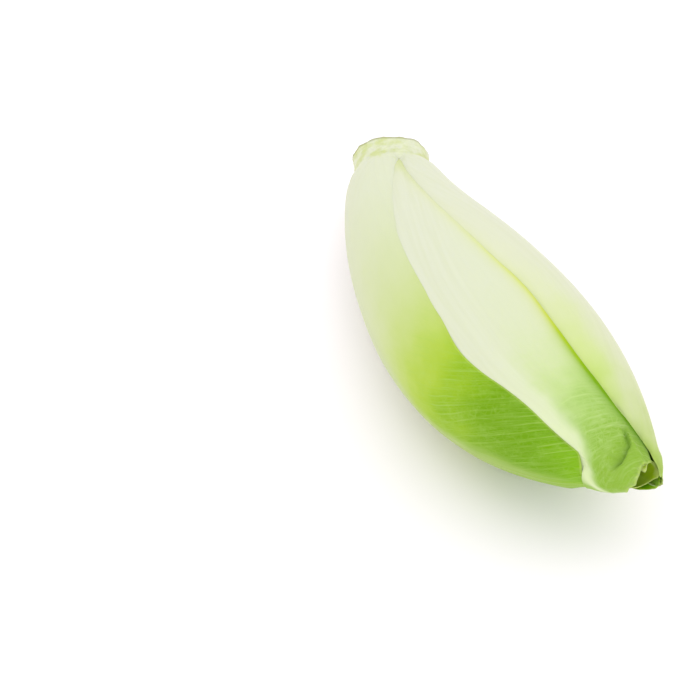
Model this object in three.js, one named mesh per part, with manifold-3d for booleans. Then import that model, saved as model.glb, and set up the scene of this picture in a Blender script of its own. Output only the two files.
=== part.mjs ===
// A belgian endive lying on its side: a trimmed core that carries sixteen leaves in eight nested layers.
// Millimetres. The cut stem points to -X, the leaf tips to +X, +Z is up and the head rests on z = 0.

import * as THREE from 'three';
import Module from 'manifold-3d';
import { mergeVertices } from 'three/addons/utils/BufferGeometryUtils.js';

// ---- the head as a whole ----
const HEAD_LENGTH = 145;
const BELLY_PLACE = 0.57;      // where the head is thickest, as a share of its length
const BOW = -8.97;             // how far the middle of the head bends sideways
const STEM_DROP = 6;           // degrees that the head tips toward its stem as it lies
const REST_CUT = 1.2;          // how much the belly is pressed flat where it lies
const SLANT_SIDE = 0.58;       // the stem is cut at a slant: its end face leans towards +Y
const SLANT_UP = 0.21;         // and a little upward
const SLANT_REACH = 0.45;      // the share of the length over which the slant dies out
const NECK_LEAN = 3.94;        // the stem end itself bends back towards +Y
const NECK_REACH = 0.314;      // the share of the length over which that bend dies out
const TIP_REACH = 0.25;        // the last share of the length bends by itself:
const TIP_LEAN = 1.1;          // back towards +Y
const TIP_DROP = 1.6;          // and down

// ---- profile of the closed head ----
const GIRTH = 39.1;
const NECK_START = 0.164;      // the widening starts so far before the cut, as a share of the length
const RISE = 0.795;            // how quickly the neck widens
const CLOSE = 1.066;           // the tips would meet here
const FALL = 3.265;            // how late the closing sets in
const ROUNDNESS = 1.193;       // how round the closing is
const PINCH = 1.6;             // the neck is pinched in by so much
const PINCH_PLACE = 0.027;
const PINCH_WIDTH = 0.034;

// ---- leaves ----
const LAYERS = 8;
const LAYER_SPACING = 2.86;    // from one layer to the next at the belly
const LAYER_GAP = 0.5;         // air between two layers
const LAYER_SHORTENING = 0.018; // how much earlier each younger layer closes
const RIB_BASE = 3;            // thickness of the rib near the stem
const RIB_TIP = 0.7;           // and at the tip of the leaf
const MARGIN = 0.55;           // thickness of the leaf's edge
const SECOND_SWELL = 1.1;      // how far the end of the second layer's top leaf swells out

// ---- core ----
const STUMP_START = -1.6;      // the cut face stands just outside the head's own length
const STUMP_RADIUS = 9.4;
const STUMP_LENGTH = 5.5;
const CORE_RADIUS = 7;         // just inside the stump
const CORE_LENGTH = 68;

const RAD = Math.PI / 180;
const { smoothstep } = THREE.MathUtils;

// Smooth line through [place, value] pairs, read at one place.
function valueAt(points, place) {
  let i = 0;
  while (i < points.length - 2 && place > points[i + 1][0]) {
    i += 1;
  }
  const [x1, y1] = points[i];
  const [x2, y2] = points[i + 1];
  const [x0, y0] = points[Math.max(i - 1, 0)];
  const [x3, y3] = points[Math.min(i + 2, points.length - 1)];
  const t = THREE.MathUtils.clamp((place - x1) / (x2 - x1), 0, 1);
  const startSlope = ((y2 - y0) / (x2 - x0)) * (x2 - x1);
  const endSlope = ((y3 - y1) / (x3 - x1)) * (x2 - x1);
  const t2 = t * t;
  const t3 = t2 * t;
  const start = (2 * t3 - 3 * t2 + 1) * y1 + (t3 - 2 * t2 + t) * startSlope;
  const end = (3 * t2 - 2 * t3) * y2 + (t3 - t2) * endSlope;
  return start + end;
}

// Outside radius of the closed head: a neck that widens to a belly and closes to a blunt point.
function headRadius(place) {
  const closing = Math.max(0, 1 - (place / CLOSE) ** FALL) ** ROUNDNESS;
  const pinch = PINCH * Math.exp(-(((place - PINCH_PLACE) / PINCH_WIDTH) ** 2));
  return GIRTH * (place + NECK_START) ** RISE * closing - pinch;
}

// Outside radius of one layer. Younger layers lie inside older ones and close a little earlier.
function layerRadius(layer, place) {
  const shrink = 1 - LAYER_SHORTENING * (layer - 1);
  const own = place < BELLY_PLACE ? place : BELLY_PLACE + (place - BELLY_PLACE) / shrink;
  const radius = headRadius(own);
  const narrowing = own < BELLY_PLACE ? 1 : radius / headRadius(BELLY_PLACE);
  return radius - (layer - 1) * LAYER_SPACING * narrowing;
}

// The core is a cone on which the leaves stand, one layer above the other.
function coreRadius(place) {
  const share = (place * HEAD_LENGTH - STUMP_LENGTH) / (CORE_LENGTH - STUMP_LENGTH);
  return CORE_RADIUS * Math.max(0, 1 - share) ** 0.8;
}

// Bends a straight head sideways, slants its cut end and tips it toward the stem. The result is
// counted from the middle of the head. Angles run from the top toward -Y.
function headPoint(place, angle, radius) {
  const neck = Math.max(0, 1 - place / NECK_REACH) ** 2;
  const slant = Math.max(0, 1 - place / SLANT_REACH) ** 2;
  const tip = THREE.MathUtils.clamp(1 - (1 - place) / TIP_REACH, 0, 1) ** 2;
  const bend = BOW * 4 * place * (1 - place) + NECK_LEAN * neck + TIP_LEAN * tip;
  const side = -radius * Math.sin(angle * RAD);
  const up = radius * Math.cos(angle * RAD);
  const along = (place - 0.5) * HEAD_LENGTH + slant * (SLANT_SIDE * side + SLANT_UP * up);
  const height = up - TIP_DROP * tip;
  const cosine = Math.cos(STEM_DROP * RAD);
  const sine = Math.sin(STEM_DROP * RAD);
  return [along * cosine - height * sine, bend + side, height * cosine + along * sine];
}

// First place along the core where a layer has room to grow out of it.
function basePlace(layer) {
  let place = (STUMP_LENGTH + LAYER_GAP) / HEAD_LENGTH;
  while (layerRadius(layer, place) - coreRadius(place) - LAYER_GAP < 1.2) {
    place += 0.002;
  }
  return place;
}

// Both faces of a leaf at one place: the rib is thick, the edges are thin and lie on the layer below.
function leafSection(layer, place, across) {
  const outside = layerRadius(layer, place);
  const below = Math.max(layerRadius(layer + 1, place), coreRadius(place)) + LAYER_GAP;
  const rib = Math.min(THREE.MathUtils.lerp(RIB_BASE, RIB_TIP, place), outside - below);
  const edge = Math.min(MARGIN, rib);
  const inner = THREE.MathUtils.lerp(outside - rib, below, Math.abs(across) ** 3);
  const thickness = THREE.MathUtils.lerp(rib, edge, Math.abs(across) ** 4);
  return [inner, inner + thickness];
}

// One leaf. "from" and "to" are its two edges as [place, angle] pairs and "end" is the line on which
// it ends, as [angle, place] pairs. Towards the end the rows lie closer together.
function leaf(name, { layer, from, to, end, lift = () => 0, rows = 16, columns = 10, colour }) {
  const start = basePlace(layer);
  const reach = Math.max(...end.map(([, place]) => place));
  const points = [];
  for (let i = 0; i <= rows; i += 1) {
    const share = 0.6 * (i / rows) + 0.4 * Math.sin((Math.PI / 2) * (i / rows));
    for (let j = 0; j <= columns; j += 1) {
      const across = (2 * j) / columns - 1;
      const endAngle = THREE.MathUtils.mapLinear(across, -1, 1, valueAt(from, reach), valueAt(to, reach));
      const shortened = (reach - valueAt(end, endAngle)) * share ** 9;
      const place = THREE.MathUtils.lerp(start, reach, share) - shortened;
      const angle = THREE.MathUtils.mapLinear(across, -1, 1, valueAt(from, place), valueAt(to, place));
      const [inner, outer] = leafSection(layer, place, across);
      const raised = lift(place, angle);
      points.push(headPoint(place, angle, outer + raised), headPoint(place, angle, inner + raised));
    }
  }

  const outside = (i, j) => 2 * (i * (columns + 1) + j);
  const inside = (i, j) => outside(i, j) + 1;
  const faces = [];
  const quad = (a, b, c, d) => faces.push(a, b, c, a, c, d);
  for (let i = 0; i < rows; i += 1) {
    for (let j = 0; j < columns; j += 1) {
      quad(outside(i, j), outside(i, j + 1), outside(i + 1, j + 1), outside(i + 1, j));
      quad(inside(i, j), inside(i + 1, j), inside(i + 1, j + 1), inside(i, j + 1));
    }
    quad(outside(i, 0), outside(i + 1, 0), inside(i + 1, 0), inside(i, 0));
    quad(outside(i, columns), inside(i, columns), inside(i + 1, columns), outside(i + 1, columns));
  }
  for (let j = 0; j < columns; j += 1) {
    quad(outside(0, j), inside(0, j), inside(0, j + 1), outside(0, j + 1));
    quad(outside(rows, j), outside(rows, j + 1), inside(rows, j + 1), inside(rows, j));
  }

  const shape = new THREE.BufferGeometry();
  shape.setAttribute('position', new THREE.Float32BufferAttribute(points.flat(), 3));
  shape.setIndex(faces);
  return piece(name, shape, colour);
}

// One named piece with its own matt, moist material.
function piece(name, shape, colour, roughness = 0.5) {
  const material = new THREE.MeshStandardMaterial({ color: colour, roughness, metalness: 0 });
  const mesh = new THREE.Mesh(shape, material);
  mesh.name = name;
  return mesh;
}

// The core: the trimmed stump that shows at the end, and the cone inside the head.
function core() {
  const rim = 0.6;
  const profile = [
    [0, STUMP_START],
    [STUMP_RADIUS - rim, STUMP_START],
    [STUMP_RADIUS, STUMP_START + rim],
    [STUMP_RADIUS, STUMP_LENGTH - rim],
    [STUMP_RADIUS - rim, STUMP_LENGTH],
    [CORE_RADIUS, STUMP_LENGTH],
  ];
  const steps = 8;
  for (let i = 1; i < steps; i += 1) {
    const height = THREE.MathUtils.lerp(STUMP_LENGTH, CORE_LENGTH, i / steps);
    profile.push([coreRadius(height / HEAD_LENGTH), height]);
  }
  profile.push([0, CORE_LENGTH]);
  const shape = new THREE.LatheGeometry(profile.map(([r, x]) => new THREE.Vector2(r, x)), 32);
  const position = shape.getAttribute('position');
  for (let i = 0; i < position.count; i += 1) {
    const radius = Math.hypot(position.getX(i), position.getZ(i));
    const angle = Math.atan2(position.getX(i), position.getZ(i)) / RAD;
    position.setXYZ(i, ...headPoint(position.getY(i) / HEAD_LENGTH, angle, radius));
  }
  return piece('core', shape, 0xd9cf9c, 0.8);
}

// A closed geometry as a solid that can be cut.
function asSolid(geometry, wasm) {
  const bare = geometry.clone();
  bare.deleteAttribute('normal');
  bare.deleteAttribute('uv');
  const merged = mergeVertices(bare);
  return new wasm.Manifold(new wasm.Mesh({
    numProp: 3,
    vertProperties: new Float32Array(merged.getAttribute('position').array),
    triVerts: new Uint32Array(merged.index.array),
  }));
}

// Presses the belly flat where the head lies: everything below the resting plane is cut away.
async function restFlat(mesh) {
  const wasm = await Module();
  wasm.setup();
  const solid = asSolid(mesh.geometry, wasm);
  const size = 2 * HEAD_LENGTH;
  const block = new THREE.BoxGeometry(size, size, size);
  block.translate(0, 0, solid.boundingBox().min[2] + REST_CUT - size / 2);
  const cut = solid.subtract(asSolid(block, wasm)).getMesh();
  const shape = new THREE.BufferGeometry();
  shape.setAttribute('position', new THREE.BufferAttribute(cut.vertProperties, 3));
  shape.setIndex(new THREE.BufferAttribute(cut.triVerts, 1));
  return piece(mesh.name, shape, mesh.material.color, mesh.material.roughness);
}

const head = new THREE.Group();
head.name = 'belgian_endive';
head.add(core());

// The two outermost leaves nearly meet along the top of the stem, then part over the second layer.
const leftLeaf = leaf('outer_leaf_left', {
  layer: 1,
  from: [
    [0, -5.3], [0.06, -5], [0.11, 3], [0.17, 10], [0.27, 22], [0.35, 30], [0.42, 33], [0.51, 37], [0.62, 44],
    [0.7, 51], [0.75, 51.5], [0.79, 50.5], [0.82, 50.5], [0.855, 52.5], [0.88, 56], [0.91, 61], [0.93, 65], [1, 78],
  ],
  to: [[0, 213], [1, 205]],
  end: [[64, 0.932], [70, 0.937], [78, 0.942], [94, 0.945], [109, 0.945], [130, 0.938], [150, 0.926], [206, 0.89]],
  rows: 26,
  columns: 20,
  colour: 0xcfdd92,
});
head.add(await restFlat(leftLeaf));
head.add(leaf('outer_leaf_right', {
  layer: 1,
  from: [[0, -143], [1, -149]],
  to: [
    [0, -7.8], [0.2, -8], [0.31, -8], [0.41, -6], [0.49, -8], [0.63, -12], [0.7, -12], [0.74, -10], [0.85, -7],
    [0.9, -10], [0.94, -19], [0.96, -25], [0.98, -31], [1, -39],
  ],
  end: [[-149, 1.012], [-130, 1.022], [-110, 1.018], [-55, 1.018], [-45, 1.014], [-39, 1.006]],
  rows: 26,
  columns: 14,
  colour: 0xe6ebc8,
}));

// The second layer shows between them: one leaf on top, one underneath. Past the end of the left
// outer leaf the top one swells out a little, as far as that leaf would reach.
head.add(leaf('second_leaf_top', {
  layer: 2,
  from: [[0, -46], [1, -50]],
  to: [[0, 98], [0.6, 106], [0.85, 140], [0.95, 170], [1, 175]],
  end: [
    [-50, 0.955], [-28, 0.968], [-22, 0.976], [-10, 0.991], [8, 1.001], [26, 1.011], [61, 1.018], [102, 1.016],
    [130, 1.012], [150, 1.002], [175, 0.985],
  ],
  lift: (place, angle) => SECOND_SWELL * smoothstep(place, 0.955, 0.985) * smoothstep(angle, 25, 80),
  rows: 26,
  columns: 20,
  colour: 0xb9cf7c,
}));
head.add(leaf('second_leaf_under', {
  layer: 2,
  from: [[0, 132], [0.7, 140], [0.85, 160], [0.95, 180], [1, 184]],
  to: [[0, 284], [1, 286]],
  end: [[184, 0.99], [202, 1.004], [210, 1.013], [218, 1.012], [228, 0.99], [240, 0.96], [286, 0.955]],
  rows: 20,
  columns: 14,
  colour: 0xa9c56a,
}));

// Younger layers: two leaves each, turned against the layer around them and shorter by steps.
head.add(leaf('leaf_3a', {
  layer: 3,
  from: [[0, -30], [0.85, -48], [0.93, -74], [1, -88]],
  to: [[0, 92], [1, 98]],
  end: [[-88, 0.965], [-60, 0.975], [-50, 0.985], [-30, 0.998], [-7, 1.004], [10, 1.003], [30, 1], [98, 0.99]],
  rows: 18,
  columns: 12,
  colour: 0xb4cc62,
}));
head.add(leaf('leaf_3b', {
  layer: 3,
  from: [[0, 104], [0.9, 118], [1, 140]],
  to: [[0, 322], [0.85, 304], [0.93, 278], [1, 264]],
  end: [[140, 0.985], [190, 0.992], [210, 0.994], [230, 1], [250, 1.007], [258, 1.004], [264, 0.99]],
  rows: 18,
  columns: 14,
  colour: 0xb4cc62,
}));
for (let layer = 4; layer <= LAYERS; layer += 1) {
  const turn = 55 + 68 * (layer - 3);
  const halfWidth = 76 - 2 * (layer - 3);
  const tip = 0.985 - 0.03 * (layer - 4);
  for (const [side, angle, reach] of [['a', turn, tip], ['b', turn + 176, tip + 0.012]]) {
    head.add(leaf(`leaf_${layer}${side}`, {
      layer,
      from: [[0, angle - halfWidth], [1, angle - halfWidth + 4]],
      to: [[0, angle + halfWidth], [1, angle + halfWidth - 4]],
      end: [
        [angle - halfWidth, reach - 0.03], [angle - 35, reach - 0.006], [angle, reach],
        [angle + 35, reach - 0.006], [angle + halfWidth, reach - 0.03],
      ],
      rows: 14,
      colour: 0xe6ebb8,
    }));
  }
}

// The origin is in the middle of the head's footprint, on the surface it lies on.
const box = new THREE.Box3().setFromObject(head);
const centre = box.getCenter(new THREE.Vector3());
for (const mesh of head.children) {
  mesh.geometry.translate(-centre.x, -centre.y, -box.min.z);
}

export default head;
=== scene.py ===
import math

import bpy
import numpy as np
from mathutils import Matrix, Vector


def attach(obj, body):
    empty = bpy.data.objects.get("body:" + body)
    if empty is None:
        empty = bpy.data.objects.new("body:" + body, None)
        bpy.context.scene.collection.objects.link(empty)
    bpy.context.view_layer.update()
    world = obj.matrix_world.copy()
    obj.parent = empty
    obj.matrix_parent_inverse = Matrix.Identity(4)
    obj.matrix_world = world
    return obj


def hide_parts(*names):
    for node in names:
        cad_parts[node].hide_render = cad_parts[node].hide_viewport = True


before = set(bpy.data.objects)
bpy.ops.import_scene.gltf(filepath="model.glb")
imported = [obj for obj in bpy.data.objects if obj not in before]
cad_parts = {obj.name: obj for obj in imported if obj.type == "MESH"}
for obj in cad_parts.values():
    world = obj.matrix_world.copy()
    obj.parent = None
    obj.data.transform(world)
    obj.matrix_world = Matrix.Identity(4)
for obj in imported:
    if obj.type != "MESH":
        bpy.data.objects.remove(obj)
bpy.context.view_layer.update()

MM = 0.001

# ---- Camera ----
# A view from above and from the tip's side, about 0.6 m away, through a long lens. The head lies right of the
# middle, as one of several things on a table would.
VIEW_AZIMUTH = math.radians(65.1)
VIEW_ELEVATION = math.radians(45.1)
VIEW_DISTANCE = 0.609
VIEW_TARGET = Vector((-0.0206, -0.0236, 0.0003))
LENS = 114.79

back = Vector((math.sin(VIEW_AZIMUTH) * math.cos(VIEW_ELEVATION),
               -math.cos(VIEW_AZIMUTH) * math.cos(VIEW_ELEVATION),
               math.sin(VIEW_ELEVATION)))
right = Vector((math.cos(VIEW_AZIMUTH), math.sin(VIEW_AZIMUTH), 0.0))
camera = bpy.data.objects.new("camera", bpy.data.cameras.new("camera"))
camera.data.lens = LENS
camera.data.sensor_width = 36
camera.data.clip_start = 0.02
camera.matrix_world = (Matrix.Translation(VIEW_TARGET + back * VIEW_DISTANCE)
                       @ Matrix((right, back.cross(right), back)).transposed().to_4x4())
bpy.context.scene.collection.objects.link(camera)
bpy.context.scene.camera = camera


# ---- Table and studio light ----
# A white laminate table top. A large softbox hangs over it and a smaller one stands in front, in a white room
# that fills the shadows.
def linear(hex_colour):
    """An sRGB hex colour as the linear RGBA that Blender's sockets take."""
    channels = [int(hex_colour[i:i + 2], 16) / 255 for i in (1, 3, 5)]
    return [c / 12.92 if c <= 0.04045 else ((c + 0.055) / 1.055) ** 2.4 for c in channels] + [1.0]


def add(tree, kind, inputs=(), out=0, **settings):
    """Adds one node with its settings. Inputs come in order, or by name or number, and each is a plain value
    or the socket that feeds it. Gives back the node's output socket number out."""
    node = tree.nodes.new(kind)
    for name, value in settings.items():
        setattr(node, name, value)
    for key, value in inputs.items() if isinstance(inputs, dict) else enumerate(inputs):
        if isinstance(value, bpy.types.NodeSocket):
            tree.links.new(value, node.inputs[key])
        else:
            node.inputs[key].default_value = value
    return node.outputs[out] if len(node.outputs) else node


def new_material(name):
    """An empty node material and its output node."""
    made = bpy.data.materials.new(name)
    made.use_nodes = True
    made.node_tree.nodes.clear()
    return made, made.node_tree.nodes.new("ShaderNodeOutputMaterial")


# Matt laminate, pressed smooth: no grain and a faint soft sheen, so that only the soft shadow shows.
laminate, surface = new_material("white_matt_laminate")
shine = add(laminate.node_tree, "ShaderNodeBsdfPrincipled", {
    "Base Color": linear("#FDF8FD"), "Roughness": 0.8, "Specular IOR Level": 0.2})
laminate.node_tree.links.new(shine, surface.inputs["Surface"])

TABLE_HALF = 3.0            # m, so that its edges lie out of view
table_corners = [(x * TABLE_HALF, y * TABLE_HALF, 0) for x, y in ((-1, -1), (1, -1), (1, 1), (-1, 1))]
table_mesh = bpy.data.meshes.new("table")
table_mesh.from_pydata(table_corners, [], [(0, 1, 2, 3)])
table = bpy.data.objects.new("table", table_mesh)
table_mesh.materials.append(laminate)
bpy.context.scene.collection.objects.link(table)

for name, width, watts, stands, aims_at in (
    ("overhead_softbox", 2.0, 5.4, (-0.15, 0.35, 1.2), (0.0, 0.0, 0.0)),
    ("front_fill", 0.9, 2.0, (0.55, -0.8, 0.7), (0.0, 0.0, 0.02)),
):
    light = bpy.data.objects.new(name, bpy.data.lights.new(name, "AREA"))
    light.data.size = width
    light.data.energy = watts
    light.location = stands
    light.rotation_euler = (Vector(stands) - Vector(aims_at)).to_track_quat("Z", "Y").to_euler()
    bpy.context.scene.collection.objects.link(light)

room = bpy.data.worlds.new("white_room")
room.use_nodes = True
room.node_tree.nodes["Background"].inputs["Color"].default_value = linear("#FFFFFF")
room.node_tree.nodes["Background"].inputs["Strength"].default_value = 1.02
bpy.context.scene.world = room
bpy.context.scene.view_settings.view_transform = "Standard"


# ---- Core ----
# The short stem that the leaves grow from: crisp pale tissue, cut with a knife, and the cut has dried tan.
# Scars of pulled-off leaves ring its side. Inside the head it goes on as a solid cone. Sizes here are in mm,
# and a place is a share of the head's length from the stem to the tip.
HEAD_LENGTH = 145.0
BOW = -8.97                 # sideways bend of the middle of the head
NECK_LEAN = 3.94            # bend of the stem end the other way
NECK_REACH = 0.314          # share of the length that the neck takes
SLANT_SIDE = 0.58           # slant of the cut, per mm sideways
SLANT_UP = 0.21             # and per mm upward
SLANT_REACH = 0.45          # share of the length over which the slant dies out
TIP_REACH = 0.25            # share of the length that the tip's own bend takes
TIP_LEAN = 1.1              # the tip's bend sideways
TIP_DROP = -1.6             # and downward
STEM_DROP = math.radians(6)             # the axis falls towards the stem
AXIS_MIDDLE = (1.725, 8.664, 23.701)    # where the middle of the head's axis stands
STUMP_START = -1.6          # the cut lies so far before place 0
STUMP_RADIUS = 9.4
STUMP_LENGTH = 5.5          # the bare stump ends here
CORE_RADIUS = 7.0           # the cone inside the head is so thick where the stump ends
CORE_LENGTH = 68.0
CONE_CURVE = 0.8            # below 1, the cone's side bulges


def new_tree(name, inputs, output):
    """A geometry node tree or group with named inputs. Gives the tree, its input node and its output node."""
    tree = bpy.data.node_groups.new(name, "GeometryNodeTree")
    for label, kind in inputs:
        tree.interface.new_socket(label, in_out="INPUT", socket_type=kind)
    tree.interface.new_socket(output[0], in_out="OUTPUT", socket_type=output[1])
    return tree, tree.nodes.new("NodeGroupInput"), tree.nodes.new("NodeGroupOutput")


# Bends a straight head: place along it (0 to 1), angle about it and radius in mm give a point in metres.
bend_tree, given, result = new_tree(
    "bend_the_head",
    [("Place", "NodeSocketFloat"), ("Angle", "NodeSocketFloat"), ("Radius", "NodeSocketFloat")],
    ("Point", "NodeSocketVector"))
place, angle, radius = (given.outputs[i] for i in range(3))
sine = add(bend_tree, "ShaderNodeMath", (angle,), operation="SINE")
cosine = add(bend_tree, "ShaderNodeMath", (angle,), operation="COSINE")
toward = add(bend_tree, "ShaderNodeMath", (radius, sine), operation="MULTIPLY")
side = add(bend_tree, "ShaderNodeMath", (toward, -1.0), operation="MULTIPLY")
up = add(bend_tree, "ShaderNodeMath", (radius, cosine), operation="MULTIPLY")
neck_left = add(bend_tree, "ShaderNodeMapRange", {"Value": place, "From Max": NECK_REACH, "To Min": 1.0,
                                                  "To Max": 0.0})
neck = add(bend_tree, "ShaderNodeMath", (neck_left, 2.0), operation="POWER")
slant_left = add(bend_tree, "ShaderNodeMapRange", {"Value": place, "From Max": SLANT_REACH, "To Min": 1.0,
                                                   "To Max": 0.0})
slant_fading = add(bend_tree, "ShaderNodeMath", (slant_left, 2.0), operation="POWER")
tip_reached = add(bend_tree, "ShaderNodeMath", (place, 1 / TIP_REACH, 1 - 1 / TIP_REACH),
                  operation="MULTIPLY_ADD", use_clamp=True)
tip_bend = add(bend_tree, "ShaderNodeMath", (tip_reached, 2.0), operation="POWER")
left_over = add(bend_tree, "ShaderNodeMath", (1.0, place), operation="SUBTRACT")
arch = add(bend_tree, "ShaderNodeMath", (place, left_over), operation="MULTIPLY")
lean = add(bend_tree, "ShaderNodeMath", (neck, NECK_LEAN), operation="MULTIPLY")
lean_both = add(bend_tree, "ShaderNodeMath", (tip_bend, TIP_LEAN, lean), operation="MULTIPLY_ADD")
bend = add(bend_tree, "ShaderNodeMath", (arch, 4 * BOW, lean_both), operation="MULTIPLY_ADD")
sideways = add(bend_tree, "ShaderNodeMath", (bend, side), operation="ADD")
slant_up = add(bend_tree, "ShaderNodeMath", (up, SLANT_UP), operation="MULTIPLY")
slant = add(bend_tree, "ShaderNodeMath", (side, SLANT_SIDE, slant_up), operation="MULTIPLY_ADD")
from_middle = add(bend_tree, "ShaderNodeMath", (place, HEAD_LENGTH, -HEAD_LENGTH / 2),
                  operation="MULTIPLY_ADD")
along = add(bend_tree, "ShaderNodeMath", (slant_fading, slant, from_middle), operation="MULTIPLY_ADD")
dropped = add(bend_tree, "ShaderNodeMath", (tip_bend, TIP_DROP, up), operation="MULTIPLY_ADD")
straight = add(bend_tree, "ShaderNodeCombineXYZ", (along, sideways, dropped))
tipped = add(bend_tree, "ShaderNodeVectorRotate", {"Vector": straight, "Angle": -STEM_DROP},
             rotation_type="Y_AXIS")
moved = add(bend_tree, "ShaderNodeVectorMath", (tipped, AXIS_MIDDLE), operation="ADD")
point = add(bend_tree, "ShaderNodeVectorMath", {0: moved, "Scale": MM}, operation="SCALE")
bend_tree.links.new(point, result.inputs[0])


def blank(name, faces, **values):
    """A mesh whose points hold named numbers instead of a place: the tree that shapes it reads them."""
    count = len(next(iter(values.values())))
    mesh = bpy.data.meshes.new(name)
    mesh.from_pydata(np.zeros((count, 3)).tolist(), [], faces)
    for label, numbers in values.items():
        attribute = mesh.attributes.new(label, "FLOAT", "POINT")
        attribute.data.foreach_set("value", np.asarray(numbers, np.float32))
    piece = bpy.data.objects.new(name, mesh)
    bpy.context.scene.collection.objects.link(piece)
    return piece


def shape(piece, tree, **inputs):
    """Runs a geometry node tree on the piece, with its inputs by name, and keeps the result as its mesh."""
    modifier = piece.modifiers.new("shape", "NODES")
    modifier.node_group = tree
    for item in tree.interface.items_tree:
        if item.item_type == "SOCKET" and item.in_out == "INPUT" and item.name in inputs:
            modifier[item.identifier] = inputs[item.name]
    evaluated = piece.evaluated_get(bpy.context.evaluated_depsgraph_get())
    mesh = bpy.data.meshes.new_from_object(evaluated)
    piece.modifiers.clear()
    piece.data = mesh
    mesh.name = piece.name
    return piece


def mottled_skin(tree, spot):
    """Yellow-green skin with paler patches about 3 mm wide. Gives the patches and their colour."""
    patches = add(tree, "ShaderNodeTexNoise", {"Vector": spot, "Scale": 300.0, "Detail": 3.0})
    patched = add(tree, "ShaderNodeMapRange", {"Value": patches, "From Min": 0.38, "From Max": 0.6})
    return patches, add(tree, "ShaderNodeMix", {0: patched, 6: linear("#C6CE92"), 7: linear("#D5D9BC")},
                        out=2, data_type="RGBA")


# Trimmed chicory stem, air-dried: matt tan on the cut, mottled yellow-green on the side, thin scar lines.
stem_tissue, surface = new_material("trimmed_chicory_stem")
stem_tree = stem_tissue.node_tree
spot = add(stem_tree, "ShaderNodeTexCoord", out=3)
from_cut = add(stem_tree, "ShaderNodeAttribute", attribute_name="from_cut", out=2)
mottle, side_colour = mottled_skin(stem_tree, spot)
# a scar line every 1.4 mm from the cut, bent where the bases of the pulled-off leaves were uneven
uneven = add(stem_tree, "ShaderNodeTexNoise", {"Vector": spot, "Scale": 160.0, "Detail": 2.0})
scar_place = add(stem_tree, "ShaderNodeMath", (uneven, 4.0, from_cut), operation="MULTIPLY_ADD")
scar_repeat = add(stem_tree, "ShaderNodeMath", (scar_place, 0.7), operation="PINGPONG")
scar = add(stem_tree, "ShaderNodeMapRange", {"Value": scar_repeat, "From Max": 0.22, "To Min": 0.15,
                                             "To Max": 0.0})
scarred = add(stem_tree, "ShaderNodeMix", {0: scar, 6: side_colour, 7: linear("#B2BA74")}, out=2,
              data_type="RGBA")
# the edge of the cut has dried to a grey-tan line
edge_dry = add(stem_tree, "ShaderNodeMapRange", {"Value": from_cut, "From Min": 0.6, "From Max": 1.5,
                                                 "To Min": 0.8, "To Max": 0.0})
rimmed = add(stem_tree, "ShaderNodeMix", {0: edge_dry, 6: scarred, 7: linear("#90946A")}, out=2,
             data_type="RGBA")
# the cut ends of the sap vessels are a ring of darker dots
ring = add(stem_tree, "ShaderNodeAttribute", attribute_name="from_middle", out=2)
strings = add(stem_tree, "ShaderNodeTexNoise", {"Vector": spot, "Scale": 700.0, "Detail": 2.0})
string_ring = add(stem_tree, "ShaderNodeMapRange", {"Value": ring, "From Min": 5.0, "From Max": 7.5},
                  interpolation_type="SMOOTHSTEP")
string_dark = add(stem_tree, "ShaderNodeMath", (strings, string_ring), operation="MULTIPLY")
cut_colour = add(stem_tree, "ShaderNodeMix", {0: string_dark, 6: linear("#E6DDB4"), 7: linear("#A98A55")},
                 out=2, data_type="RGBA")
is_cut = add(stem_tree, "ShaderNodeMapRange", {"Value": from_cut, "From Max": 0.12, "To Min": 1.0,
                                               "To Max": 0.0})
stem_colour = add(stem_tree, "ShaderNodeMix", {0: is_cut, 6: rimmed, 7: cut_colour}, out=2, data_type="RGBA")
stem_bump = add(stem_tree, "ShaderNodeBump", {"Height": mottle, "Strength": 0.5, "Distance": 0.0006})
stem_shine = add(stem_tree, "ShaderNodeBsdfPrincipled", {
    "Base Color": stem_colour, "Roughness": 0.7, "Normal": stem_bump, "IOR": 1.4,
    "Subsurface Weight": 0.2, "Subsurface Radius": (1.0, 0.9, 0.4), "Subsurface Scale": 0.002})
stem_tree.links.new(stem_shine, surface.inputs["Surface"])

# Bends the straight core like the head and makes its skin uneven.
core_tree, given, result = new_tree(
    "bent_core",
    [("Geometry", "NodeSocketGeometry"), ("Unevenness", "NodeSocketFloat"),
     ("Material", "NodeSocketMaterial")],
    ("Geometry", "NodeSocketGeometry"))
place, angle, radius = (
    add(core_tree, "GeometryNodeInputNamedAttribute", {"Name": label}, data_type="FLOAT")
    for label in ("place", "angle", "radius"))
smooth = add(core_tree, "GeometryNodeGroup", {"Place": place, "Angle": angle, "Radius": radius},
             node_tree=bend_tree)
lumps = add(core_tree, "ShaderNodeTexNoise", {"Vector": smooth, "Scale": 260.0, "Detail": 3.0})
lump = add(core_tree, "ShaderNodeMapRange", {"Value": lumps, "From Min": 0.3, "From Max": 0.7, "To Min": -1.0,
                                             "To Max": 1.0})
uneven = add(core_tree, "ShaderNodeMath", (lump, given.outputs["Unevenness"], radius),
             operation="MULTIPLY_ADD")
sunk = add(core_tree, "ShaderNodeMath", (uneven, 0.3), operation="MAXIMUM")
shaped = add(core_tree, "GeometryNodeGroup", {"Place": place, "Angle": angle, "Radius": sunk},
             node_tree=bend_tree)
placed = add(core_tree, "GeometryNodeSetPosition", {
    "Geometry": given.outputs["Geometry"], "Position": shaped})
rounded = add(core_tree, "GeometryNodeSetShadeSmooth", {"Geometry": placed})
whole = add(core_tree, "GeometryNodeRealizeInstances", {"Geometry": rounded})
painted = add(core_tree, "GeometryNodeSetMaterial", {
    "Geometry": whole, "Material": given.outputs["Material"]})
core_tree.links.new(painted, result.inputs[0])


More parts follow.
